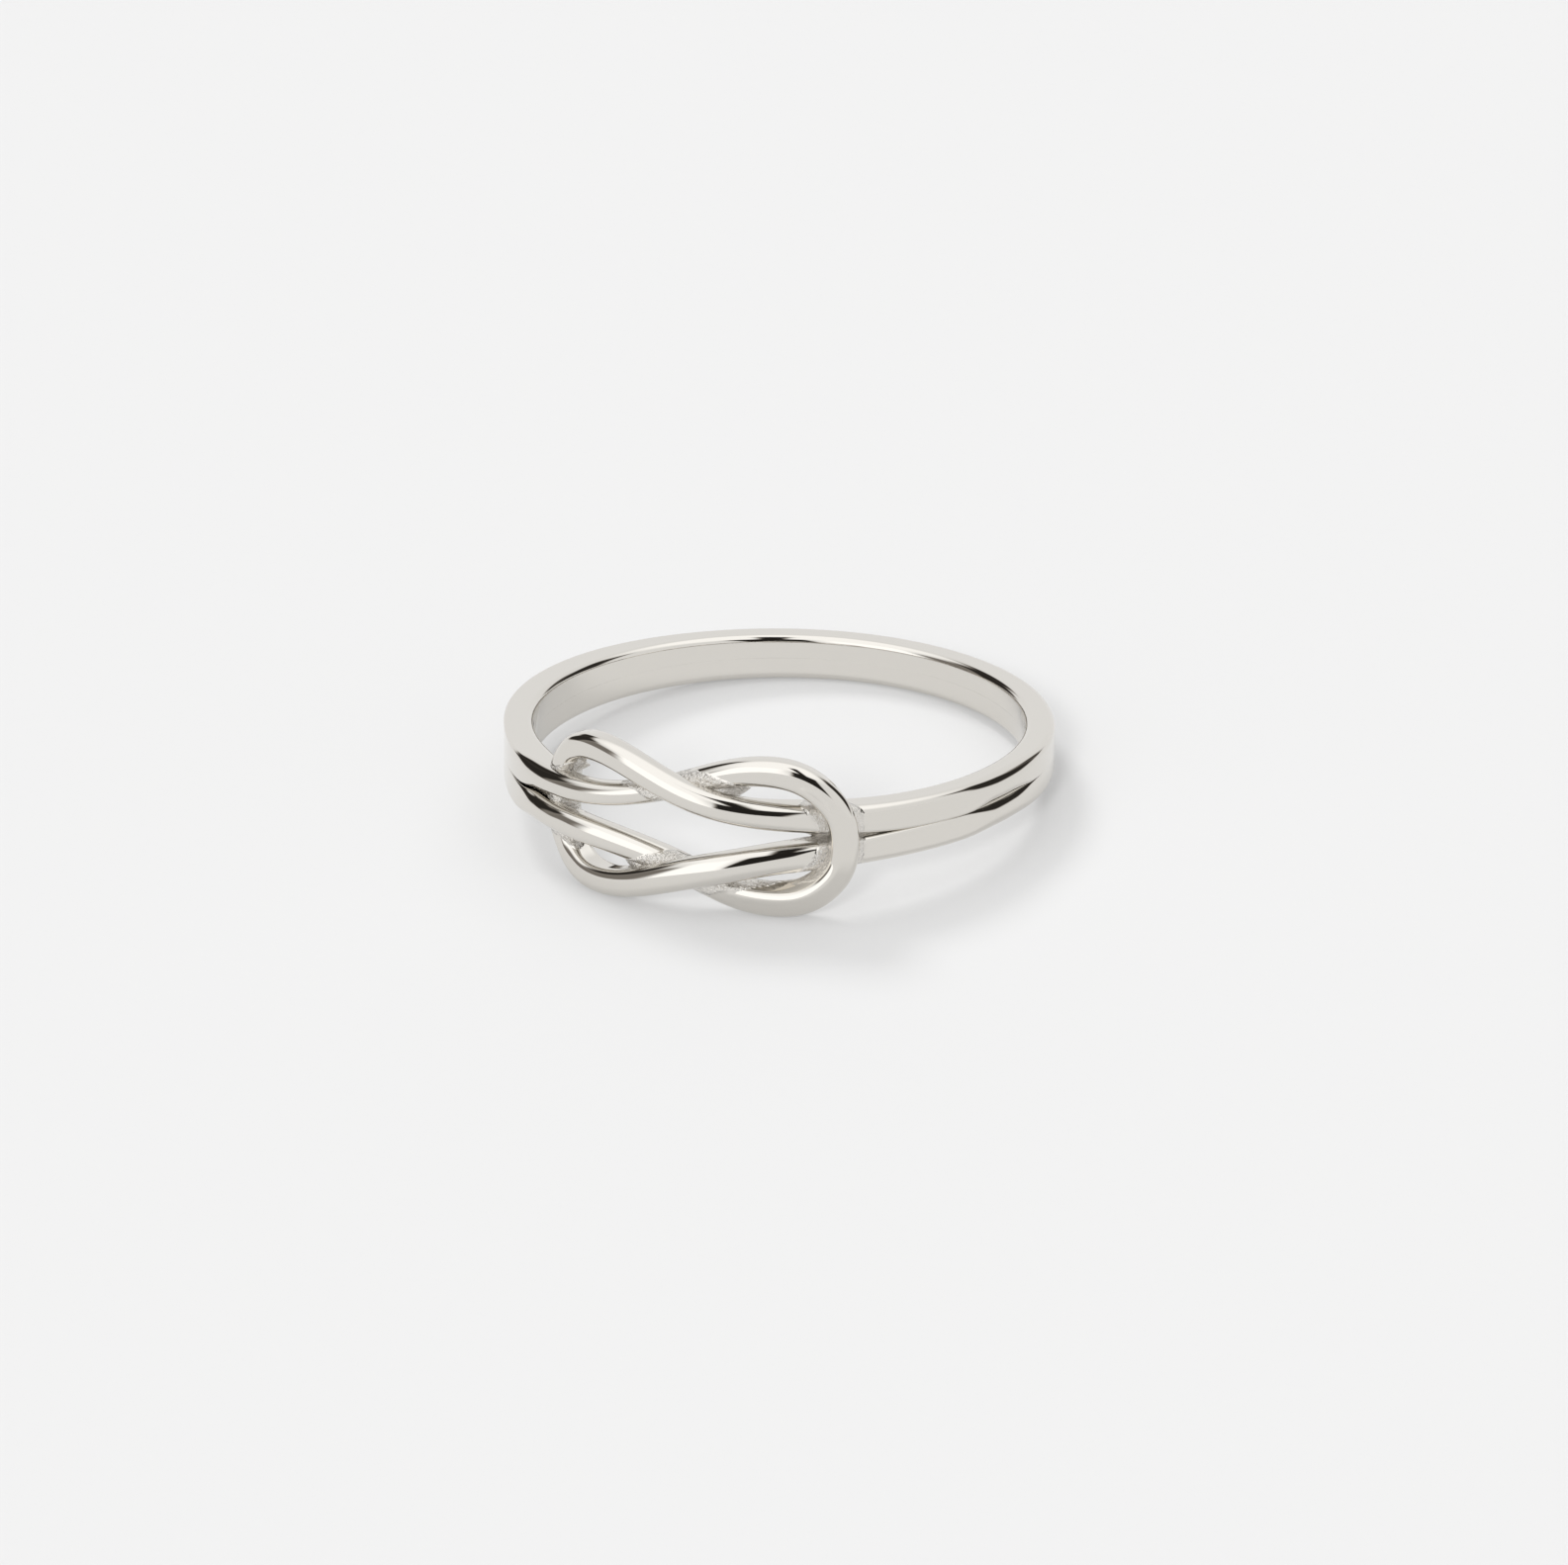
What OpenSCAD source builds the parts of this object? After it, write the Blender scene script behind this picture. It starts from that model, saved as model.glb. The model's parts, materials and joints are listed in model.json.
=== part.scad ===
// Infinity ring: a finger ring cast in one piece, whose band divides into two wires at the front.
// The wires of each side meet in a loop, and the two loops are linked in a flat square knot.
// The ring lies on its side on a flat surface, with +Z up and the knot towards -Y. The knot is
// wider than the band, so the ring rests on the knot's two loops and on the back of the band.

/* [Finger hole] */
// Inner diameter of the band, the finger's own size
finger_d = 17.2; // [15:0.1:21]

/* [Band] */
// Thickness of the band from the finger to its outer face
band_t = 1.05; // [0.8:0.02:1.4]
// Width of the band along the finger, at the back
band_w_back = 1.62; // [1.3:0.02:2.4]
// Width of the band along the finger, beside the knot
band_w_front = 2.14; // [1.9:0.02:2.8]
// Depth of the groove that divides the band beside the knot
groove = 0.16; // [0.05:0.01:0.3]

/* [Knot] */
// Length of the knot round the finger, between the middles of the wire in its two loop ends
knot_l = 10.9; // [9:0.1:14]
// Width of the knot along the finger, over the wire
knot_w = 5.8; // [5:0.02:7]
// Width of the wire, across the knot's face
wire_w = 0.97; // [0.75:0.01:1.2]
// Thickness of the wire, from the finger outwards
wire_t = 1.03; // [0.75:0.01:1.2]
// How far the upper wire stands off the lower one where two cross
cross_rise = 0.85; // [0.6:0.01:1.1]

/* [Hidden] */
silver = [0.80, 0.80, 0.79];

wire_corners = 14;     // corners round the wire's section
wire_steps = 4;        // sections for each row of the path table
wire_square = 2.5;     // power of the wire's section, where 2 is an ellipse
band_corners = 24;     // corners round the band's section
band_sections = 73;    // sections from one end of the band to the other
band_square = 4;       // power of the band's section
groove_reach = 0.52;   // how far the groove's slopes reach, as a share of the band's half width
band_overlap = 0.4;    // how far the band runs under a loop's end, as a share of wire_w

bore_r = finger_d / 2;
wall_t = 0.4 * band_t;       // depth of the finger hole's own wall inside the band
wall_h = 0.86 * band_w_back; // its width along the finger, clear of the band's broken edges
clear = 0.03;                // what the band and the wires leave to that wall, towards the finger
half_turn = knot_l / 2 / (bore_r + wire_t / 2) * 180 / PI;   // degrees, knot's middle to loop's end

// The upper half of a bight, from inside the band to the end of its loop. Each row is a control
// point of a smooth curve. The lower half runs back at the same distance below the middle, and the
// second bight is the same curve turned to face the first. The columns are:
//   along    share of half_turn, from the knot's middle towards the loop's end
//   across   share of half of knot_w
//   over     share of cross_rise off the finger, for the bight whose loop lies over the other's wires
//   under    the same, for the bight whose loop lies under them
//   girths   shares of wire_w: over above, over below, under above and under below the middle
WIRE = [
    [-1.84, 0.160, -0.35, -0.40, 1.00, 1.00, 1.00, 1.00],
    [-1.44, 0.172,  0.20, -0.16, 1.00, 1.04, 1.00, 1.00],
    [-1.08, 0.222,  0.49,  0.12, 0.97, 1.08, 1.00, 1.03],
    [-0.79, 0.229,  0.47,  0.39, 0.93, 1.06, 0.96, 1.09],
    [-0.52, 0.272,  0.25,  0.56, 0.89, 1.03, 0.90, 1.15],
    [-0.29, 0.368, -0.03,  0.75, 0.87, 1.01, 0.90, 1.18],
    [-0.06, 0.496, -0.25,  0.69, 0.89, 1.02, 0.96, 1.17],
    [ 0.18, 0.674, -0.21,  0.52, 0.94, 1.00, 1.01, 1.11],
    [ 0.41, 0.816,  0.09,  0.35, 0.99, 0.98, 1.01, 1.06],
    [ 0.63, 0.853,  0.42,  0.16, 1.02, 0.97, 0.97, 1.01],
    [ 0.81, 0.770,  0.80,  0.04, 1.02, 0.96, 0.95, 1.00],
    [ 0.98, 0.414,  1.08, -0.02, 1.04, 1.00, 0.96, 1.02],
    [ 1.01, 0.000,  1.16, -0.05, 1.04, 1.04, 0.98, 1.02]
];
OVER = 2;
UNDER = 3;

function unit(v) = v / norm(v);
function power(x, p) = sign(x) * pow(abs(x), p);

// Corner k of n of a rounded section with half sizes of 1: [across, outwards]
function corner(k, n, square) =
    [power(cos(360 * k / n), 2 / square), power(sin(360 * k / n), 2 / square)];

// A uniform cubic B-spline through the span that starts at control point i, t from 0 to 1
function spline(c, i, t) =
    (pow(1 - t, 3) * c[i] + (3 * pow(t, 3) - 6 * t * t + 4) * c[i + 1]
    + (3 * t + 3 * t * t - 3 * pow(t, 3) + 1) * c[i + 2] + pow(t, 3) * c[i + 3]) / 6;

// Control points of a whole bight: [degrees from the knot, distance across, off the bore, girth]
function controls(rise) =
    let (n = len(WIRE), above = 2 * rise, below = 2 * rise + 1)
    [for (i = [0 : 2 * n - 2])
        let (low = i >= n, row = WIRE[low ? 2 * n - 2 - i : i])
        [row[0] * half_turn,
         row[1] * knot_w / 2 * (low ? -1 : 1),
         wire_t / 2 + row[rise] * cross_rise,
         row[low ? below : above] * wire_w]];

// Sections along a bight, each [middle, half width], on the ring's own axis with the knot at -Y.
// side is 1 for a loop that ends towards +X and -1 for one that ends towards -X.
function bight(rise, side) =
    let (c = controls(rise))
    [for (i = [0 : len(c) - 4], s = [0 : wire_steps - 1])
        let (q = spline(c, i, s / wire_steps), a = side * q[0], r = bore_r + q[2])
        [[r * sin(a), -r * cos(a), q[1]], q[3] / 2]];

// Corners of the wire: each section is square to the wire and keeps its thickness off the finger
function wire_points(path) =
    [for (i = [0 : len(path) - 1])
        let (here = path[i][0],
             along = unit(path[min(i + 1, len(path) - 1)][0] - path[max(i - 1, 0)][0]),
             across = unit(cross(along, [here[0], here[1], 0])),
             outwards = cross(across, along))
        for (k = [0 : wire_corners - 1])
            let (c = corner(k, wire_corners, wire_square))
            here + c[0] * path[i][1] * across + c[1] * wire_t / 2 * outwards];

// The band's own shape at an angle from the knot's middle
function nearness(a) = (1 + cos(a)) / 2;
function band_half(a) = (band_w_back + (band_w_front - band_w_back) * nearness(a)) / 2;
function groove_at(a, across) =
    groove * pow(nearness(a), 2) * max(0, 1 - abs(across) / groove_reach);

// Corners of the band: rounded outside, flat towards the finger with only its edges broken
band_end = half_turn + band_overlap * wire_w / bore_r * 180 / PI;
band_middle = 0.35 * band_t;
function band_points() =
    [for (i = [0 : band_sections - 1])
        let (a = band_end + (360 - 2 * band_end) * i / (band_sections - 1))
        for (k = [0 : band_corners - 1])
            let (out = k < band_corners / 2,
                 c = corner(k, band_corners, out ? band_square : 2 * band_square),
                 depth = out ? band_t - band_middle : band_middle - clear,
                 r = bore_r + band_middle + depth * c[1] - (out ? groove_at(a, c[0]) : 0))
            [r * sin(a), -r * cos(a), -band_half(a) * c[0]]];

// Faces of a tube of sections with n corners, closed at both ends
function tube_faces(sections, n) =
    concat([[for (k = [n - 1 : -1 : 0]) k]],
        [for (i = [0 : sections - 2], k = [0 : n - 1])
            [i * n + k, i * n + (k + 1) % n, (i + 1) * n + (k + 1) % n, (i + 1) * n + k]],
        [[for (k = [0 : n - 1]) (sections - 1) * n + k]]);

// Both wires are brought to the knot's full width, and kept out of the finger hole. Inside the
// band they keep further out, so that only the bore's own wall faces the finger there.
RAW_OVER = wire_points(bight(OVER, 1));
RAW_UNDER = wire_points(bight(UNDER, -1));
widening = knot_w / 2 / max([for (p = concat(RAW_OVER, RAW_UNDER)) p[2]]);
function fitted(points) =
    [for (p = points)
        let (buried = abs(atan2(p[0], -p[1])) > band_end,
             least = bore_r + (buried ? wall_t / 2 : clear),
             grow = max(1, least / norm([p[0], p[1]])))
        [p[0] * grow, p[1] * grow, p[2] * widening]];
OVER_WIRE = fitted(RAW_OVER);
UNDER_WIRE = fitted(RAW_UNDER);
BAND = band_points();

// How the ring lies: it leans until both the knot and the band's back touch the surface
SKIN = concat(OVER_WIRE, UNDER_WIRE, BAND);
FRONT = [for (p = SKIN) if (p[1] < 0) p];
BACK = [for (p = SKIN) if (p[1] > 0) p];
function lowest(points, lean) = min([for (p = points) p[2] * cos(lean) + p[1] * sin(lean)]);
function settle(low, high, turns) =
    let (lean = (low + high) / 2)
    turns == 0 ? lean
    : lowest(FRONT, lean) < lowest(BACK, lean) ? settle(low, lean, turns - 1)
    : settle(lean, high, turns - 1);
steepest = 15;   // degrees either way within which the lean is looked for
halvings = 18;
lean = settle(-steepest, steepest, halvings);
surface_z = lowest(SKIN, lean);
SKIN_Y = [for (p = SKIN) p[1] * cos(lean) - p[2] * sin(lean)];
middle_y = (min(SKIN_Y) + max(SKIN_Y)) / 2;

// A closed tube through sections of n corners
module tube(points, n) {
    polyhedron(points, tube_faces(len(points) / n, n), convexity = 8);
}

// The wall of the finger hole, a true arc round the whole band
module bore_wall() {
    rotate([0, 0, band_end + 1 - 90])
        rotate_extrude(angle = 358 - 2 * band_end, $fn = 180)
            translate([bore_r, -wall_h / 2])
                square([wall_t, wall_h]);
}

// The one solid: the band, its wall and the two bights grown together and laid on their side
module knot_ring() {
    color(silver)
        translate([0, -middle_y, -surface_z])
            rotate([lean, 0, 0])
                union() {
                    bore_wall();
                    tube(BAND, band_corners);
                    tube(OVER_WIRE, wire_corners);
                    tube(UNDER_WIRE, wire_corners);
                }
}

knot_ring();
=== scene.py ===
# %% [markdown]
# # A polished silver ring with a square knot
# The ring is one casting. Its band is plain at the back, splits into two round wires at the front,
# and the wires of each side meet in a loop. The two loops are linked, as in a square knot.
#
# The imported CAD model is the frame: it says how large everything is and where it lies. This file
# adds what the eye sees: the exact flow of the wires, the polish, and the light of a small studio.

# %% Load the frame
import json
import math
import bpy
import numpy as np
from mathutils import Matrix, Vector


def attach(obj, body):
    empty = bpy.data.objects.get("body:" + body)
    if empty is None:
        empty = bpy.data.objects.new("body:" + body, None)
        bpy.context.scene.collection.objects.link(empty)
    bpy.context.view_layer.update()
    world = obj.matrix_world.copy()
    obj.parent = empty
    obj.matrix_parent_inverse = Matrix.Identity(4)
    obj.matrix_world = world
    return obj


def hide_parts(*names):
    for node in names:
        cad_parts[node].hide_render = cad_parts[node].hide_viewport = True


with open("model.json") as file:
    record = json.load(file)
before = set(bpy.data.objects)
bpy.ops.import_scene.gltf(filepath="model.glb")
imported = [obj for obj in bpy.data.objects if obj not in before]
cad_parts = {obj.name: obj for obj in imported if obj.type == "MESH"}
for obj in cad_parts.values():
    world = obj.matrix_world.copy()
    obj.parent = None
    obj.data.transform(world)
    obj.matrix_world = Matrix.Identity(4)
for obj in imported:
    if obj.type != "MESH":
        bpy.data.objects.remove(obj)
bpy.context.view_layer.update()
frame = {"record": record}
mount = frame["record"]["mounts"][0]
print("finger hole", mount["pos_m"], mount["axis"], mount["dims"])

# %% [markdown]
# ## The ring's own axis
# A ring is easiest to describe round its own axis: an angle from the knot's middle, a distance off
# the finger hole, and a height along the finger. But it lies on its side and leans a little, on the
# knot's lower edge and the back of the band. An object could be turned for that, but a finished piece
# stays unturned at the origin. So every shape is worked out upright, and one turn and one shift lay
# its points down. The frame's own mount gives both.

# %% Sizes in millimetres, and the step that lays a shape down
MM = 0.001
BORE = mount["dims"]["r_mm"]
centre = np.array(mount["pos_m"]) / MM
up_finger = np.array(mount["axis"])
up_finger = up_finger / np.linalg.norm(up_finger)
to_side = np.array([1.0, 0.0, 0.0])
to_back = np.cross(up_finger, to_side)
LYING = np.stack([to_side, to_back, up_finger])


def lay_down(points):
    """Upright millimetres to the frame's metres: each point is turned with the ring and shifted."""
    return (points @ LYING + centre) * MM


def turn(directions):
    """Upright directions to the frame's: turned with the ring, not shifted."""
    return directions @ LYING


print("lean in degrees", round(math.degrees(math.asin(up_finger[1])), 2))

# %% [markdown]
# ## The path of the metal
# Seen as a maker does, the ring is a single strand. It runs round the back as the upper half of the
# band, comes off the band as a round wire, makes a loop, goes back as the band's lower half, and does
# the same again from the other side. Two strands side by side make the band, and the line between
# them is the groove that the real ring has beside its knot.
#
# A curve object with a bevel would make such a wire at once, but its section stays the same all
# along, and here a flat bar turns into a round wire. So the path is a smooth curve through a few
# control rows, and each row says where the strand is and how thick it is. One table serves both
# loops, because one is the other turned round. Only the heights differ, because the right loop lies
# over the wires it holds and the left one passes under them.

# %% The main sizes of the band and the knot
BAND_THICK = 1.05
BAND_BACK = 1.62   # the band's width opposite the knot
BAND_FRONT = 2.14  # and beside it
KNOT_LONG = 10.9   # round the finger, between the middles of the wire in the two loop ends
KNOT_WIDE = 5.8    # along the finger, over the wire
WIRE_WIDE = 0.97
WIRE_THICK = 1.03
RISE = 0.85        # how far the upper wire stands off the lower one where two cross
HALF_TURN = math.degrees(KNOT_LONG / 2 / (BORE + WIRE_THICK / 2))    # from the middle to a loop's end

OVER, UNDER = 0, 1
UPPER, LOWER = 0, 1

# Degrees from the knot's middle where the strand is still plain band
PLAIN = (-180, -165, -150, -135, -120, -104, -88)

# The shoulders, where the band opens: degrees, top of the over and the under loop's strand off the
# finger, foot of both, how round both are from 0 to 1, and the strand's middle and half width, where
# None keeps the band's own
SHOULDERS = (
    (-72, 1.03, 1.05, 0.0, 0.0, 0.00, 0.00, None, None),
    (-60, 1.06, 1.06, 0.0, 0.0, 0.00, 0.00, None, None),
    (-48, 1.26, 1.09, 0.0, 0.0, 0.02, 0.02, 0.52, None),
    (-37, 1.46, 1.18, 0.1, 0.0, 0.38, 0.15, 0.60, 0.49),
)

# The knot: share of HALF_TURN, share of half the knot's width, shares of RISE for the over and the
# under loop, shares of WIRE_WIDE: over above and below the middle, under above and below it, how
# round the wire is, how many degrees the lower wire of the over and the under loop leans outwards,
# and how far out or in the over loop's lower and the under loop's upper wire lie, as shares of half
# the knot's width
KNOT = (
    (-0.79, 0.229, 0.47, 0.39, 0.93, 1.06, 1.08, 1.09, 0.95, -8, 0, 0.000, 0.030),
    (-0.52, 0.272, 0.25, 0.56, 0.89, 1.03, 1.10, 1.15, 1.00, -8, -2, 0.000, 0.038),
    (-0.29, 0.368, -0.03, 0.75, 0.87, 1.01, 1.02, 1.18, 1.00, -6, -5, 0.000, 0.018),
    (-0.06, 0.496, -0.25, 0.69, 0.89, 1.02, 1.00, 1.17, 1.00, -3, -5, 0.000, 0.000),
    (0.18, 0.674, -0.21, 0.52, 0.94, 1.00, 1.02, 1.11, 0.90, 6, 0, 0.000, 0.000),
    (0.41, 0.816, 0.09, 0.35, 0.99, 1.14, 1.01, 1.06, 0.75, 18, 0, -0.030, 0.000),
    (0.63, 0.853, 0.42, 0.16, 1.02, 1.24, 0.97, 1.01, 0.55, 30, 4, -0.052, 0.000),
    (0.81, 0.770, 0.80, 0.04, 1.02, 1.20, 0.95, 1.00, 0.50, 26, 4, -0.045, 0.000),
    (0.98, 0.414, 1.08, -0.02, 1.04, 1.06, 0.96, 1.02, 0.50, 10, 0, -0.010, 0.000),
    (1.01, 0.000, 1.16, -0.05, 1.04, 1.04, 0.98, 1.02, 0.50, 0, 0, 0.000, 0.000),
)

# The under loop leaves the band lower and less round: foot and roundness of its first row of KNOT
UNDER_START = (0.10, 0.6)


def nearness(angle):
    """1 at the knot's middle, 0 opposite it, and a cosine wave between."""
    return (1 + np.cos(np.radians(angle))) / 2


def band_half(angle):
    """Half the band's width: from BAND_BACK to BAND_FRONT by nearness."""
    return (BAND_BACK + (BAND_FRONT - BAND_BACK) * nearness(angle)) / 2


def half_bight(loop, side):
    """Control rows from the band's back to a loop's end.

    The columns are angle, middle, half width, top, foot, roundness and lean.
    """
    rows = []
    for angle in PLAIN:
        half = band_half(angle) / 2
        rows.append((angle, half, half, BAND_THICK, 0, 0, 0))
    for row in SHOULDERS:
        half = band_half(row[0]) / 2
        middle, wide = row[7] or half, row[8] or half
        rows.append((row[0], middle, wide, row[1 + loop], row[3 + loop], row[5 + loop], 0))
    for row in KNOT:    # only the over loop's lower and the under loop's upper wire are moved across
        rise = row[2 + loop] * RISE
        wide = row[4 + 2 * loop + side] * WIRE_WIDE / 2
        lean = row[9 + loop] if side == LOWER else 0
        across = row[1] + (row[11 + loop] if side != loop else 0)
        rows.append((row[0] * HALF_TURN, across * KNOT_WIDE / 2, wide, WIRE_THICK + rise, rise,
                     row[8], lean))
    rows = np.array(rows, float)
    if loop == UNDER:
        rows[len(PLAIN) + len(SHOULDERS), 4:6] = UNDER_START
    return rows


def whole_strand():
    """All control rows in order of travel: over loop out and back, then under loop out and back.

    The lower half is the upper one with its middle on the other side. The under loop's angles run
    the other way, and one turn on, so that the strand never jumps back.
    """
    over_out = half_bight(OVER, UPPER)
    over_back = half_bight(OVER, LOWER)[-2::-1]
    under_out = half_bight(UNDER, LOWER)[1:]
    under_back = half_bight(UNDER, UPPER)[-2:0:-1]
    over_back[:, 1] *= -1
    under_out[:, 1] *= -1
    for rows in (under_out, under_back):
        rows[:, 0] = -rows[:, 0] - 360
    return np.concatenate([over_out, over_back, under_out, under_back])


STEPS = 16         # sections for each control row


def smooth_closed(rows, steps):
    """A uniform cubic B-spline through closed control rows, with that many sections for each row."""
    t = np.arange(steps) / steps
    weights = np.stack([(1 - t) ** 3, 3 * t ** 3 - 6 * t ** 2 + 4,
                        3 * t + 3 * t ** 2 - 3 * t ** 3 + 1, t ** 3], 1) / 6
    near = (np.arange(len(rows))[:, None] + np.arange(4)) % len(rows)
    return np.einsum("sk,nkc->nsc", weights, rows[near]).reshape(-1, rows.shape[1])


path = smooth_closed(whole_strand(), STEPS)
print("sections along the strand", len(path))

# %% [markdown]
# ## The strand's section
# The band is flat towards the finger and has softly broken edges. The wires are round. Both are the
# same section with four corners of different size: small corners leave a bar, corners as large as
# the half width make a wire. So one number that runs from 0 to 1 turns the bar into the wire.
#
# Beside the knot the two strands of the band run a little way into each other under the groove, as
# they do in a casting, so that no slit shows between them.
#
# A Bevel modifier could round a bar's edges too, but each by the same width. Here a corner is a
# quarter of a superellipse. Its slope is known exactly, so the normals are worked out with the shape,
# and reflections on the polished metal run without a break.

# %% One section of the strand, with its slopes
CORNER_POINTS = 9
FLAT_POINTS = 3
SQUARE = 2.2       # power of a corner's superellipse, where 2 is a circle
FULL = 0.96        # the largest corner, as a share of the half width
EDGE = 0.28        # the band's outer edge, in mm as the corners below
SHARPER = 0.20     # how much smaller that edge is on the left
INNER_EDGE = 0.26  # its edge towards the finger
SEAM = 0.002       # where two strands meet without a groove
GROOVE_CORNER = 0.13   # the corners beside a groove
WORN_EDGE, WORN_GROOVE = 0.16, 0.42   # how much larger both are where the band is worn rounder
GROOVE_FILL = 0.05     # how far a strand runs into the other under the groove, in mm
FILL_PART = 4          # the same as a part of the groove's corner, where that is less
FILL_FADE = 1.5        # how fast that ends as the strand turns round


def quarter(count, square):
    """Points of a quarter superellipse |x|^n + |y|^n = 1, and the direction of its outline there."""
    t = np.linspace(0, math.pi / 2, count)
    x, y = np.cos(t) ** (2 / square), np.sin(t) ** (2 / square)
    slope_x, slope_y = x ** (square - 1), y ** (square - 1)
    length = np.hypot(slope_x, slope_y)
    return x, y, -slope_y / length, slope_x / length


def sections(wide, thick, roundness, edge, shoulder):
    """Outline of every section at once: four corners and the straight runs that join them.

    wide and thick are half sizes. x points to the band's edge, y away from the finger. The band's
    outer edge and the corner beside its groove, edge and shoulder, have their own sizes. Each corner
    grows from its own size to nearly the half size as roundness goes from 0 to 1.
    """
    x, y, run_x, run_y = quarter(CORNER_POINTS, SQUARE)
    spread = np.minimum(GROOVE_FILL, shoulder / FILL_PART)
    spread = spread * (1 - np.clip(FILL_FADE * roundness, 0, 1))
    corners = ((1, 1, edge), (-1, 1, shoulder), (-1, -1, SEAM), (1, -1, INNER_EDGE))
    outline, runs = [], []
    for side, out, size in corners:
        size_x = np.minimum(size + (FULL * wide - size) * roundness, FULL * wide)
        size_y = np.minimum(size + (FULL * thick - size) * roundness, FULL * thick)
        turned = slice(None) if side * out > 0 else slice(None, None, -1)
        way = 1 if side * out > 0 else -1
        reach = wide + (spread if (side < 0 < out) else 0)
        outline.append(np.stack([side * (reach[:, None] - size_x[:, None] * (1 - x[turned])),
                                 out * (thick[:, None] - size_y[:, None] * (1 - y[turned]))], -1))
        runs.append(np.stack([side * way * run_x[turned] * size_x[:, None],
                              out * way * run_y[turned] * size_y[:, None]], -1))
    points, slopes = [], []
    for k in range(4):
        start, end = outline[k][:, -1], outline[(k + 1) % 4][:, 0]
        share = np.arange(1, FLAT_POINTS)[None, :, None] / FLAT_POINTS
        flat = start[:, None] + (end - start)[:, None] * share
        points += [outline[k], flat]
        slopes += [runs[k], np.broadcast_to((end - start)[:, None], flat.shape)]
    return np.concatenate(points, 1), np.concatenate(slopes, 1)


# %% [markdown]
# ## Carrying the section along the path
# At each step the section stands square to the path, with its y axis away from the finger. The
# inside of the wires may not reach into the finger hole, where the real ring is polished flat, so
# points inside the bore are moved out to it.

# %% The whole strand as one closed surface
CLEAR = 0.012      # what stays free between the wires and the finger
GROOVE_FROM, GROOVE_FULL = 0.42, 0.82     # nearness where the groove starts and is full, on the right
LEFT_FROM, LEFT_FULL = 0.86, 0.92         # the same on the left, where it is short
WORN_RIGHT = (63, 74, 79, 93)             # degrees from the knot where the wear starts, is full,
WORN_LEFT = (26, 32, 37, 44)              # is still full, and has ended
SHARP_LEFT = (39, 47, 105, 150)           # the same for the sharper edge on the left


def smoothstep(value, low, high):
    """0 below low, 1 above high, and an even S between."""
    t = np.clip((value - low) / (high - low), 0, 1)
    return t * t * (3 - 2 * t)


def stretch(value, start, full, still, end):
    """0 up to start, 1 from full to still, 0 again from end on."""
    return smoothstep(value, start, full) * (1 - smoothstep(value, still, end))


def unit(vectors):
    """Each vector divided by its length."""
    return vectors / np.maximum(np.linalg.norm(vectors, axis=-1, keepdims=True), 1e-12)


def strand(path):
    """Carries the sections along the path: point = middle + x * across + y * outwards.

    The result is stretched along the finger to the knot's full width, and kept out of the bore. A
    normal is the cross product of the outline's own slope and the step from section to section.
    """
    angle, middle, wide, top, foot, roundness, lean = path.T
    radius, turned = BORE + (top + foot) / 2, np.radians(angle)
    left = np.sin(turned) < 0
    groove = smoothstep(nearness(angle), np.where(left, LEFT_FROM, GROOVE_FROM),
                        np.where(left, LEFT_FULL, GROOVE_FULL))
    off = np.degrees(np.arccos(np.clip(np.cos(turned), -1, 1)))
    worn = ~left * stretch(off, *WORN_RIGHT) + left * stretch(off, *WORN_LEFT)
    sharp = left * stretch(off, *SHARP_LEFT)
    outline, slopes = sections(wide, (top - foot) / 2, roundness,
                               EDGE + WORN_EDGE * worn - SHARPER * sharp,
                               SEAM + GROOVE_CORNER * groove + WORN_GROOVE * worn)
    spine = np.stack([radius * np.sin(turned), -radius * np.cos(turned), middle], 1)
    radial = np.stack([np.sin(turned), -np.cos(turned), 0 * turned], 1)
    along = unit(np.roll(spine, -1, 0) - np.roll(spine, 1, 0))
    level = unit(np.cross(radial, along))
    upright = np.cross(along, level)
    leaning = np.radians(lean)[:, None]
    across = level * np.cos(leaning) - upright * np.sin(leaning)
    outwards = upright * np.cos(leaning) + level * np.sin(leaning)
    points = (spine[:, None] + outline[..., :1] * across[:, None]
              + outline[..., 1:] * outwards[:, None])
    points[..., 2] *= KNOT_WIDE / 2 / np.abs(points[..., 2]).max()
    reach = np.hypot(points[..., 0], points[..., 1])
    points[..., :2] *= np.maximum(1, (BORE + CLEAR * roundness[:, None]) / reach)[..., None]
    round_run = slopes[..., :1] * across[:, None] + slopes[..., 1:] * outwards[:, None]
    long_run = np.roll(points, -1, 0) - np.roll(points, 1, 0)
    return points, unit(np.cross(round_run, long_run)), spine


strand_points, strand_normals, spine = strand(path)
low, high = strand_points.reshape(-1, 3).min(0), strand_points.reshape(-1, 3).max(0)
print("upright size in mm", (high - low).round(3))

# %% [markdown]
# ## Where the polishing wheel cannot reach
# A wheel polishes what stands out. In the narrow places where one wire presses on another, the metal
# keeps the grain of the casting, and catches the light as fine sparkle. How deep a point lies in such
# a place could be painted by hand, but after each change of the shape it would have to be painted
# again. So it is worked out, from the point's distance to the next run of the strand and from which
# of the two stands higher, and is kept on the mesh as an attribute that the material reads.

# %% Distance from each point to the other runs of the strand
GRAIN_NEAR, GRAIN_FAR = 0.14, 0.72    # mm to the next run where the grain is full, and where it ends
PROUD = 1.6        # how much further off a run counts for each mm that the point stands above it
OWN_RUN = 3.2      # mm of the strand's own length that don't count
NO_RUN = 9.0       # mm that stand for "no other run is near"
BATCH = 160        # sections worked out at a time, to spare memory
GRAIN_LEFT, GRAIN_RIGHT = (33, 38), (42, 48)   # degrees between which the grain ends


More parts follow.
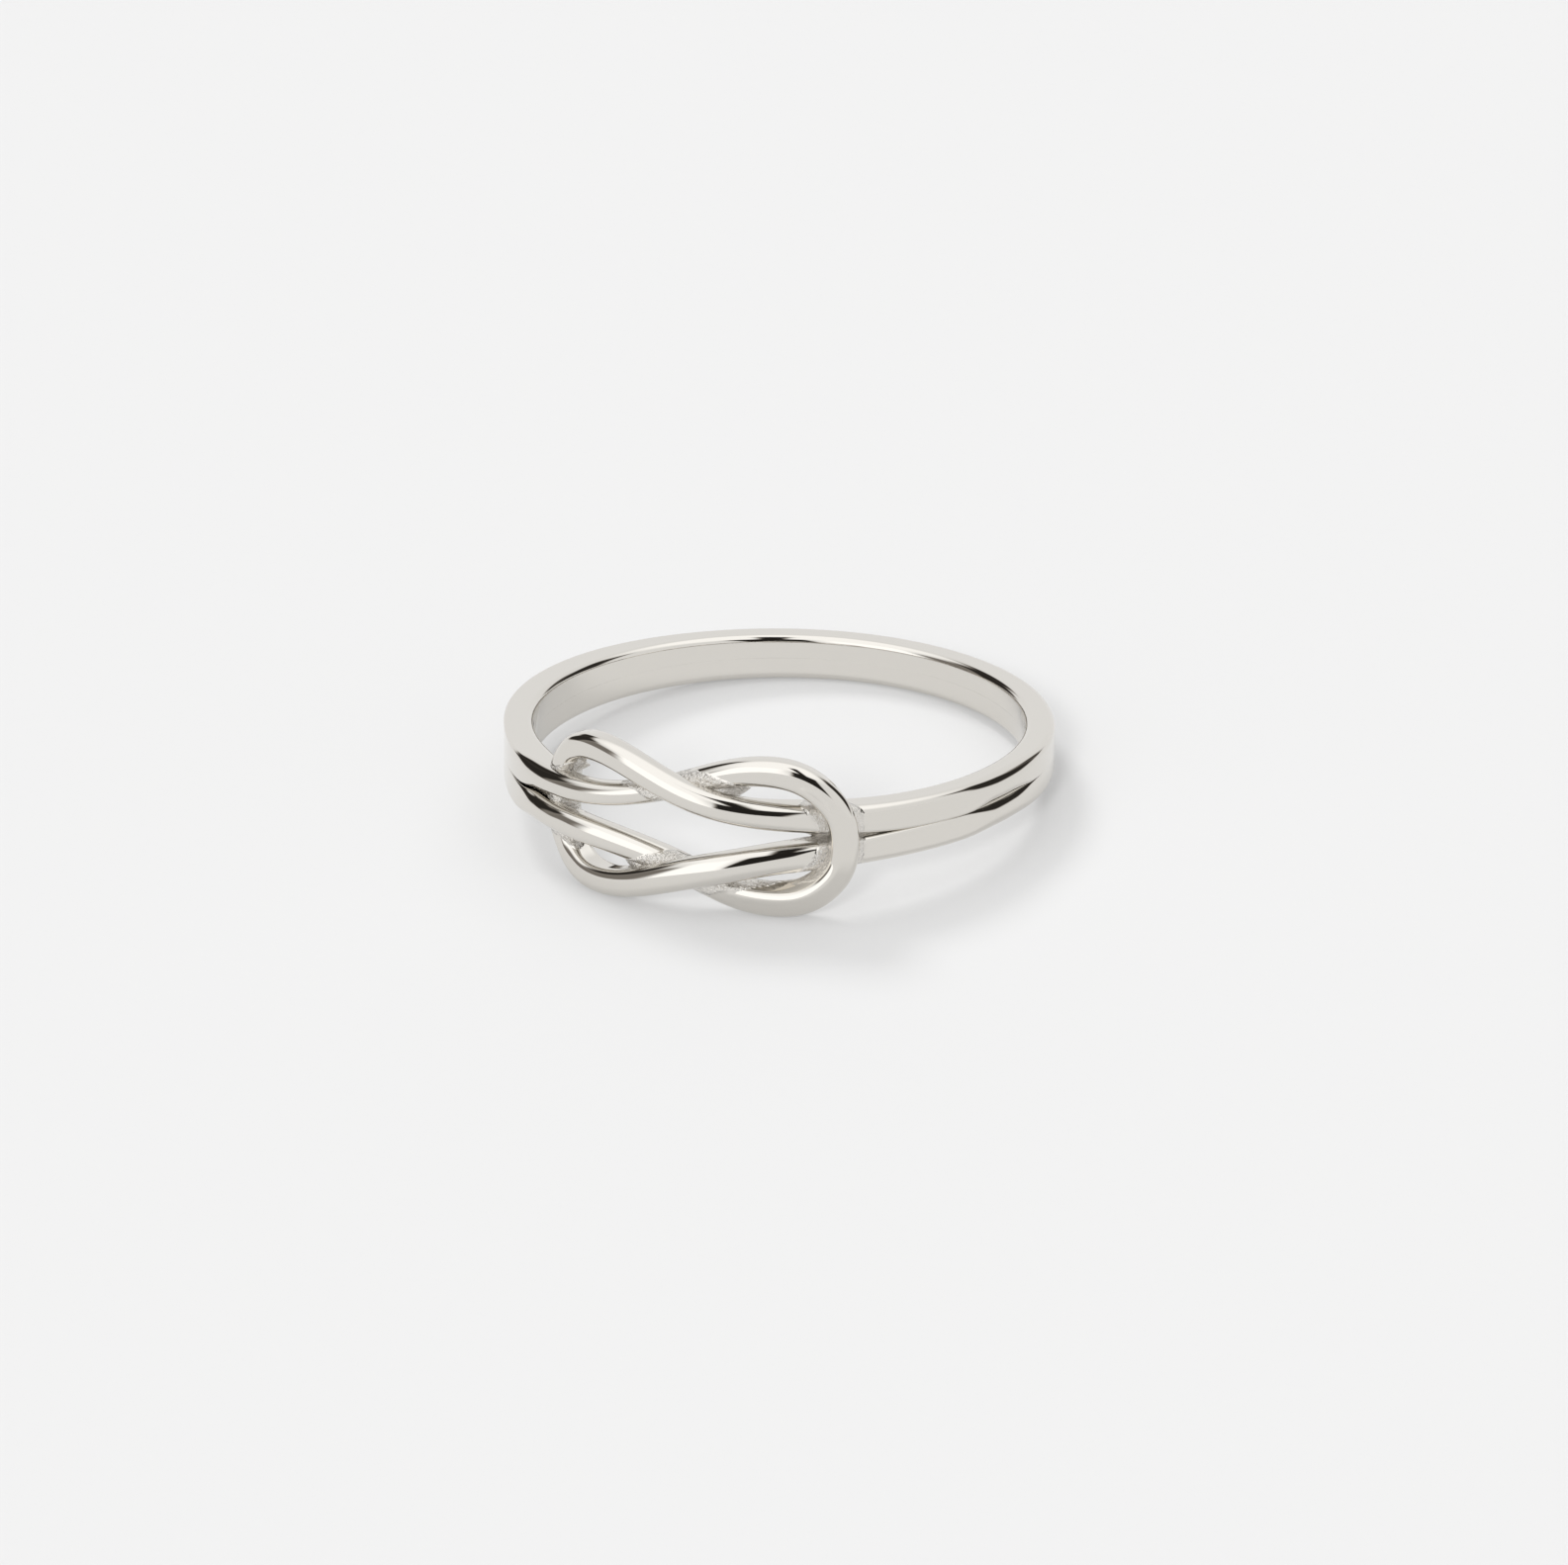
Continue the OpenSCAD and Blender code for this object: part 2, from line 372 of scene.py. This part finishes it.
def recess(points, spine, path):
    """1 where another run's surface is within GRAIN_NEAR, 0 where none is within GRAIN_FAR."""
    steps = np.linalg.norm(np.roll(spine, -1, 0) - spine, axis=1)
    travelled = np.concatenate([[0], np.cumsum(steps)[:-1]])
    whole = steps.sum()
    size = (path[:, 2] + (path[:, 3] - path[:, 4]) / 2) / 2    # mean half thickness of each section
    height, level = np.hypot(points[..., 0], points[..., 1]), np.hypot(spine[:, 0], spine[:, 1])
    gap = np.full(points.shape[:2], NO_RUN)
    for first in range(0, len(points), BATCH):
        some = slice(first, first + BATCH)
        away = np.linalg.norm(points[some, :, None] - spine[None, None], axis=-1) - size
        away += PROUD * np.maximum(0, height[some, :, None] - level)
        apart = np.abs(travelled[some, None] - travelled[None])
        own = np.minimum(apart, whole - apart) < OWN_RUN
        gap[some] = np.where(own[:, None], NO_RUN, away).min(-1)
    angle = (path[:, 0] + 180) % 360 - 180
    inside = (1 - smoothstep(-angle, *GRAIN_LEFT)) * (1 - smoothstep(angle, *GRAIN_RIGHT))
    return (1 - smoothstep(gap, GRAIN_NEAR, GRAIN_FAR)) * inside[:, None]


grain = recess(strand_points, spine, path)
print("share of the strand in recesses", round(float((grain > 0.5).mean()), 3))

# %% [markdown]
# ## From a grid to a mesh
# The grid closes on itself both ways, so every point has four neighbours and there is no seam. A
# Subdivision modifier would smooth a coarser grid, but it would guess the normals, and a mirror shows
# every guess. The normals from the formula are exact, and go on as custom normals.

# %% Make the ring's object
def grid_faces(rows, columns, closed_rows=True):
    """Corner numbers of the quads of a grid that is closed round its columns, and along its rows."""
    last = rows if closed_rows else rows - 1
    i, k = np.meshgrid(np.arange(last), np.arange(columns), indexing="ij")
    j, m = (i + 1) % rows, (k + 1) % columns
    corners = (i * columns + k, i * columns + m, j * columns + m, j * columns + k)
    return np.stack(corners, -1).reshape(-1, 4)


def metal_object(name, points, normals, faces, grain):
    """A mesh object from upright millimetre points, laid down in the frame, with smooth shading."""
    mesh = bpy.data.meshes.new(name)
    mesh.from_pydata(lay_down(points.reshape(-1, 3)).tolist(), [], faces)
    mesh.polygons.foreach_set("use_smooth", np.ones(len(mesh.polygons), bool))
    mesh.attributes.new("recess", "FLOAT", "POINT").data.foreach_set("value", grain.ravel())
    if normals is not None:
        mesh.normals_split_custom_set_from_vertices(turn(normals.reshape(-1, 3)).tolist())
    piece = bpy.data.objects.new(name, mesh)
    bpy.context.collection.objects.link(piece)
    return piece


rows, columns = strand_points.shape[:2]
ring = metal_object("knotted_ring", strand_points, strand_normals,
                    grid_faces(rows, columns).tolist(), grain)
print("faces", len(ring.data.polygons))

# %% [markdown]
# ## The webs between the wires
# Where two wires leave the band, or cross, the casting doesn't split like a fork: a little web of
# metal stays in the corner, lower than the wires and rough. A Boolean union with a fillet could make
# it, and would break up the strand's clean grid. Instead each web is a small pebble of metal, long
# round the ring and mostly buried in both wires, so only its grainy back shows.

# %% Make the webs
WEB_SECTIONS, WEB_CORNERS = 41, 32
WEB_TIP = 0.9999   # where the first and last section stand, as a share of the way to the tips
WEB_GRAIN = 1.0    # the whole web is rough

# From and to in degrees, height along the finger, half width and top off the finger in mm
WEBS = {
    "left_web": (-56, -32, 0, 0.42, 0.80),
    "right_web": (56, 25, 0, 0.42, 0.80),
    "loop_end_web": (-35, -28, 1.22, 0.28, 0.72),
    "upper_web": (2, 15, 1.50, 0.34, 0.85),
    "lower_left_web": (-17, -3, -1.52, 0.34, 0.80),
    "lower_right_web": (3, 14, -1.52, 0.34, 0.80),
}


def web(name, start, end, height, wide, top):
    """A tapered bar round the finger hole from start to end in degrees.

    Its section is a superellipse between the bore and top. Along its length t from -1 to 1 the
    section shrinks by 1 - t^2.
    """
    t = np.linspace(-1, 1, WEB_SECTIONS) * WEB_TIP
    swell = (1 - t ** 2)[:, None]
    turned = np.radians(start + (end - start) * (t + 1) / 2)[:, None]
    round_angle = 2 * math.pi * np.arange(WEB_CORNERS) / WEB_CORNERS
    x = np.sign(np.cos(round_angle)) * np.abs(np.cos(round_angle)) ** (2 / SQUARE)
    y = np.sign(np.sin(round_angle)) * np.abs(np.sin(round_angle)) ** (2 / SQUARE)
    middle = (top + CLEAR) / 2
    radius = BORE + middle * swell + (top - CLEAR) / 2 * swell * y
    points = np.stack([radius * np.sin(turned), -radius * np.cos(turned),
                       height + wide * swell * x + 0 * turned], -1)
    faces = grid_faces(WEB_SECTIONS, WEB_CORNERS, closed_rows=False).tolist()
    last = (WEB_SECTIONS - 1) * WEB_CORNERS
    faces.append(list(range(WEB_CORNERS))[::-1])
    faces.append([last + k for k in range(WEB_CORNERS)])
    return metal_object(name, points, None, faces, np.full(points.shape[:2], WEB_GRAIN))


webs = [web(name, *sizes) for name, sizes in WEBS.items()]
for piece in webs:
    print(piece.name, len(piece.data.polygons), "faces")

# %% [markdown]
# ## Shader maths in Python
# A material is a sum of small formulas. Its nodes could be added and linked one by one, but the
# formula would be hard to see. So one class wraps a socket, and `1 - mask * 0.5` in Python makes the
# Math nodes for it. One function makes any other node from its type and its values.

# %% The wrapped socket and the node maker
class Value:
    """A number that a shader works out, with the usual signs between such numbers."""

    def __init__(self, tree, socket):
        self.tree, self.socket = tree, socket

    def math(self, operation, *others):
        """A Math node with this value first."""
        return make(self.tree, "ShaderNodeMath", {"operation": operation}, self, *others)

    def __add__(self, other): return self.math("ADD", other)
    def __radd__(self, other): return self.math("ADD", other)
    def __sub__(self, other): return self.math("SUBTRACT", other)
    def __rsub__(self, other): return make(self.tree, "ShaderNodeMath",
                                           {"operation": "SUBTRACT"}, other, self)
    def __mul__(self, other): return self.math("MULTIPLY", other)
    def __rmul__(self, other): return self.math("MULTIPLY", other)


def make(tree, kind, settings, *values, output=0, **named):
    """Any node: its type, its settings, then the values or links of its sockets by order or name."""
    node = tree.nodes.new(kind)
    for name, value in settings.items():
        setattr(node, name, value)
    pairs = list(enumerate(values)) + [(name.replace("_", " "), v) for name, v in named.items()]
    for key, value in pairs:
        if isinstance(value, Value):
            tree.links.new(value.socket, node.inputs[key])
        elif value is not None:
            node.inputs[key].default_value = value
    return Value(tree, node.outputs[output]) if node.outputs else None


def s_curve(value, low, high):
    """0 below low, 1 above high, and an S between, as a shader value."""
    return make(value.tree, "ShaderNodeMapRange", {"interpolation_type": "SMOOTHSTEP"},
                value, low, high, 0.0, 1.0)


def blend(tree, share, first, second):
    """A colour between two, by share."""
    node = tree.nodes.new("ShaderNodeMix")
    node.data_type = "RGBA"
    for key, value in ((0, share), (6, first), (7, second)):
        if isinstance(value, Value):
            tree.links.new(value.socket, node.inputs[key])
        else:
            node.inputs[key].default_value = value
    return Value(tree, node.outputs[2])


# %% [markdown]
# ## Polished silver
# Silver jewellery is often plated with rhodium, which is a little darker and greyer than bare silver
# and doesn't tarnish. Hand polishing leaves the surface very slightly wavy, so reflections swim a
# little. In the recesses the grain of the casting stays, with a rougher, duller skin.
#
# Pictures of scratches could show all this, but noise has no seams and needs no UV map. It reads the
# object's own coordinates, so it doesn't slide when the ring is seen from another side.

# %% Make the silver
SILVER = (0.725, 0.700, 0.655, 1.0)
SILVER_DULL = (0.77, 0.745, 0.705, 1.0)    # the rough skin in the recesses
POLISH_ROUGH, GRAIN_ROUGH = 0.055, 0.24
WAVES = 420.0       # polishing waves, in noise cells a metre
WAVE_HIGH = 0.0000020    # metres, as GRAIN_HIGH
SMEARS = 3 * WAVES  # finer smears, which the polish leaves duller or brighter
SMEAR_ROUGH = 0.03
GRAINS = 7500.0     # casting grain, in noise cells a metre
GRAIN_HIGH = 0.00009
PATCHES = GRAINS / 5    # patches, which break up the edge of the grain
PATCH_SHARE = 0.9
SKIN_FROM, SKIN_FULL = 0.45, 0.8    # how deep in a recess the rough skin starts and is full


def new_material(name):
    """A material with an empty node tree."""
    material = bpy.data.materials.new(name)
    material.use_nodes = True
    material.node_tree.nodes.clear()
    return material, material.node_tree


def silver_material():
    """Polished metal that turns into rough skin by the recess attribute, with bumps for both."""
    material, tree = new_material("polished_silver")
    place = make(tree, "ShaderNodeTexCoord", {}, output=3)
    deep = make(tree, "ShaderNodeAttribute", {"attribute_name": "recess"}, output=2)
    waves = make(tree, "ShaderNodeTexNoise", {}, place, Scale=WAVES, Detail=1.0)
    smears = make(tree, "ShaderNodeTexNoise", {}, place, Scale=SMEARS, Detail=3.0)
    grains = make(tree, "ShaderNodeTexNoise", {}, place, Scale=GRAINS, Detail=3.0, Roughness=0.6)
    patchy = make(tree, "ShaderNodeTexNoise", {}, place, Scale=PATCHES, Detail=2.0)
    rough_skin = s_curve(deep + (patchy - 0.5) * PATCH_SHARE, SKIN_FROM, SKIN_FULL)
    height = waves * WAVE_HIGH + grains * rough_skin * GRAIN_HIGH
    bump = make(tree, "ShaderNodeBump", {}, Strength=1.0, Distance=1.0, Height=height)
    colour = blend(tree, rough_skin, SILVER, SILVER_DULL)
    rough = rough_skin * (GRAIN_ROUGH - POLISH_ROUGH) + POLISH_ROUGH
    rough = rough + (smears - 0.5) * SMEAR_ROUGH
    skin = make(tree, "ShaderNodeBsdfPrincipled", {}, Base_Color=colour, Metallic=1.0,
                Roughness=rough, Normal=bump)
    make(tree, "ShaderNodeOutputMaterial", {}, skin)
    return material


silver = silver_material()
for piece in [ring] + webs:
    piece.data.materials.append(silver)
print("nodes in the silver", len(silver.node_tree.nodes))

# %% [markdown]
# ## The floor
# The ring lies on a sheet of matt white card. It is far larger than the view, so no edge shows from
# any side. Its faint tooth keeps it from looking like nothing at all. Plain white card would take a
# darker shadow than the real picture has. As on a light table, part of the light comes up through
# this sheet, which keeps the shadow pale.

# %% Make the floor
FLOOR_HALF = 3.0       # metres from its middle to its edge
FLOOR_QUADS = 4        # along each side
FLOOR_COLOUR = (0.72, 0.72, 0.72, 1.0)
FLOOR_GLOW = 0.64      # how bright the light is that comes up through the sheet
FLOOR_SHARE = 0.42     # share of the sheet that lets it through
TOOTH = 2500.0         # the card's tooth, in noise cells a metre
TOOTH_HIGH = 0.000002
# Painted shade: the card's colour is made a little darker in the hollows of its tooth
TOOTH_PAINTED_SHADE = 0.995    # how dark the tooth's hollows are, as a share of the card's colour


def floor_object():
    """A square of FLOOR_QUADS by FLOOR_QUADS quads at height 0."""
    line = np.linspace(-1, 1, FLOOR_QUADS + 1)
    u, v = np.meshgrid(line, line, indexing="ij")
    points = np.stack([u, v, 0 * u], -1).reshape(-1, 3) * FLOOR_HALF
    i, k = np.meshgrid(np.arange(FLOOR_QUADS), np.arange(FLOOR_QUADS), indexing="ij")
    per_row = FLOOR_QUADS + 1
    first = i * per_row + k
    faces = np.stack([first, first + per_row, first + per_row + 1, first + 1], -1).reshape(-1, 4)
    mesh = bpy.data.meshes.new("card_floor")
    mesh.from_pydata(points.tolist(), [], faces.tolist())
    piece = bpy.data.objects.new("card_floor", mesh)
    bpy.context.collection.objects.link(piece)
    return piece


def card_material():
    """Matt card with painted shade in its tooth's hollows, mixed with the light that comes through,
    and a fine bump.
    """
    material, tree = new_material("matt_card")
    place = make(tree, "ShaderNodeTexCoord", {}, output=3)
    tooth = make(tree, "ShaderNodeTexNoise", {}, place, Scale=TOOTH, Detail=2.0)
    # painted shade: where the tooth dips, the card's colour is made a little darker
    painted_hollow_shade = [c * TOOTH_PAINTED_SHADE for c in FLOOR_COLOUR[:3]] + [1]
    colour = blend(tree, tooth, painted_hollow_shade, FLOOR_COLOUR)
    bump = make(tree, "ShaderNodeBump", {}, Strength=1.0, Distance=1.0, Height=tooth * TOOTH_HIGH)
    card = make(tree, "ShaderNodeBsdfDiffuse", {}, Color=colour, Normal=bump)
    through = make(tree, "ShaderNodeEmission", {}, Color=colour,
                   Strength=FLOOR_GLOW / FLOOR_COLOUR[0])
    sheet = make(tree, "ShaderNodeMixShader", {}, FLOOR_SHARE, card, through)
    make(tree, "ShaderNodeOutputMaterial", {}, sheet)
    return material


floor = floor_object()
floor.data.materials.append(card_material())

# %% [markdown]
# ## The camera
# It stands half a metre away and looks down on the ring from the front right, with a long lens, as
# small jewellery is photographed. The picture is taken with a slight roll. A constraint could aim the
# camera, but its three directions say plainly what each angle does, so they make its matrix.

# %% Make the camera
CAMERA_TURN, CAMERA_UP, CAMERA_ROLL = 22.54, 26.71, -2.646    # degrees
CAMERA_FAR = 0.5722          # metres to the point it aims at
CLIP_NEAR, CLIP_FAR = 0.01, 20    # metres
LENS, SENSOR = 375.3, 36.0   # mm
AIM = Vector((0.0003446, -0.0002318, 0.0006212))

turned, raised = math.radians(CAMERA_TURN), math.radians(CAMERA_UP)
to_camera = Vector((math.sin(turned) * math.cos(raised), -math.cos(turned) * math.cos(raised),
                    math.sin(raised)))
level_right = Vector((math.cos(turned), math.sin(turned), 0))
level_up = to_camera.cross(level_right)
roll = math.radians(CAMERA_ROLL)
right = level_right * math.cos(roll) + level_up * math.sin(roll)
up = level_up * math.cos(roll) - level_right * math.sin(roll)

camera_data = bpy.data.cameras.new("camera")
camera_data.lens, camera_data.sensor_width = LENS, SENSOR
camera_data.sensor_fit = "HORIZONTAL"
camera_data.clip_start, camera_data.clip_end = CLIP_NEAR, CLIP_FAR
camera = bpy.data.objects.new("camera", camera_data)
camera.matrix_world = Matrix.Translation(AIM + to_camera * CAMERA_FAR) @ Matrix(
    (right, up, to_camera)).transposed().to_4x4()
bpy.context.collection.objects.link(camera)
bpy.context.scene.camera = camera
print("camera at", tuple(round(v, 4) for v in camera.matrix_world.translation))

# %% [markdown]
# ## The light
# A mirror shows its room, so polished metal is lit by what stands round it. A studio for jewellery is
# a white tent: brightest above, with a soft box at the left of the camera and a dark gap where the
# camera looks in. Behind the ring, black flags stand at the left and right. The gap and the flags
# make the thin black lines that give metal its shape.
#
# Real panels could stand round the ring, but each would have to be placed and lit. Painted on the
# world, a panel is moved by its angles alone. The angles are counted from the direction in which the
# camera looks, and each panel has soft edges. Two broad lamps at the left, one behind the ring and
# one before it, give the soft shadow. They only light the card: in the metal the soft box is seen,
# not they.

# %% Paint the studio
DEGREE = math.pi / 180

# Panels: from and to in degrees round (0 straight behind the ring, left is negative, the camera at
# 180), from and to in degrees up, softness round and up, brightness
PANELS = (
    (-158, -105, -12, 50, 9, 8, 1.45),    # the soft box
    (-106, -72, 0, 36, 8, 5, 0.22),       # its grey side
    (-74, -38, 1, 41, 5, 5, 0.03),        # the flag at the left
    (-42, -18, 21, 41, 4, 4, 0.03),       # and its upper part, nearer to the middle
    (42, 53, 0, 27, 5, 5, 0.03),          # the lower part of the flag at the right
    (51, 90, 2, 40, 5, 5, 0.03),          # and the flag itself
)
CEILING_FROM, CEILING_FULL = 34, 60       # degrees up
WALL_LIGHT, CEILING_LIGHT = 0.92, 1.30
WARM, WHITE = (1.0, 0.90, 0.80, 1.0), (1.0, 1.0, 1.0, 1.0)    # tints of dark and of bright places
WHITE_FROM = 0.8                          # brightness from which a place counts as bright

# The dark gap behind the camera, below and above: reach to the left and right, as sines, from and to
# in degrees up, and how far it slants to the right for each degree up
GAPS = (
    (-0.38, 0.20, 2.8, 44, 0.005),
    (-0.02, 0.17, 42, 84, 0.0),
)
GAP_SOFT, GAP_EDGE, GAP_LIGHT = 0.04, 1.7, 0.02    # softness as a sine and in degrees, brightness
CAMERA_SIDE = 0.1     # cosine from which a direction counts as the camera's side

# Lamps: degrees round and up, degrees across, power
LAMPS = {
    "lamp_behind": (-30, 45, 20, 1.45),
    "lamp_in_front": (-166, 31, 13, 1.6),
}


def window(value, low, high, soft):
    """1 between low and high, 0 outside, with soft edges that are centred on them."""
    return s_curve(value, low - soft, low + soft) * (1 - s_curve(value, high - soft, high + soft))


def paint_studio():
    """The world: walls and ceiling, each panel blended over them, and the gap on the camera's side.

    A direction's angles are the arctangent of right and ahead, and the arcsine of its height.
    Returns the level direction away from the camera.
    """
    world = bpy.data.worlds.new("studio")
    world.use_nodes = True
    tree = world.node_tree
    tree.nodes.clear()
    way = make(tree, "ShaderNodeTexCoord", {}, output=0)

    def dot(direction):
        """How far the way goes along that direction."""
        return make(tree, "ShaderNodeVectorMath", {"operation": "DOT_PRODUCT"}, way, direction,
                    output=1)

    ahead = Vector((-level_right.y, level_right.x, 0))
    to_right, forward = dot(level_right), dot(ahead)
    round_angle = to_right.math("ARCTAN2", forward) * (1 / DEGREE)
    up_angle = dot(Vector((0, 0, 1))).math("ARCSINE") * (1 / DEGREE)
    ceiling = s_curve(up_angle, CEILING_FROM, CEILING_FULL)
    light = WALL_LIGHT + ceiling * (CEILING_LIGHT - WALL_LIGHT)
    for start, end, low, high, soft_round, soft_up, brightness in PANELS:
        mask = window(round_angle, start, end, soft_round) * window(up_angle, low, high, soft_up)
        light = light + mask * (brightness - light)
    at_camera = s_curve(forward * -1, 0.0, CAMERA_SIDE)
    for start, end, low, high, slant in GAPS:
        gap = (window(to_right - up_angle * slant, start, end, GAP_SOFT)
               * window(up_angle, low, high, GAP_EDGE))
        light = light + gap * at_camera * (GAP_LIGHT - light)
    tint = blend(tree, s_curve(light, 0.0, WHITE_FROM), WARM, WHITE)
    glow = make(tree, "ShaderNodeBackground", {}, Color=tint, Strength=light)
    make(tree, "ShaderNodeOutputWorld", {}, glow)
    bpy.context.scene.world = world
    return ahead


ahead = paint_studio()
print("nodes in the studio", len(bpy.context.scene.world.node_tree.nodes))

# %% Hang the lamps
for name, (lamp_round, lamp_up, spread, power) in LAMPS.items():
    lamp_round, lamp_up = math.radians(lamp_round), math.radians(lamp_up)
    level_way = level_right * math.sin(lamp_round) + ahead * math.cos(lamp_round)
    to_lamp = level_way * math.cos(lamp_up) + Vector((0, 0, math.sin(lamp_up)))
    lamp_data = bpy.data.lights.new(name, "SUN")
    lamp_data.energy, lamp_data.angle = power, math.radians(spread)
    lamp = bpy.data.objects.new(name, lamp_data)
    lamp.rotation_euler = to_lamp.to_track_quat("Z", "Y").to_euler()
    lamp.visible_glossy = False
    bpy.context.collection.objects.link(lamp)
    print(name, "stands towards", tuple(round(v, 3) for v in to_lamp))
bpy.context.scene.view_settings.view_transform = "Standard"

# %% [markdown]
# ## Hand the pieces to the frame
# The strand and its webs stand for the CAD ring and move with it. The CAD ring itself is hidden: its
# corners are too coarse for a mirror, but collisions still use it. The floor is only the stage.

# %% Ride and replace
for piece in [ring] + webs:
    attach(piece, "root")
    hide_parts("knot_ring")
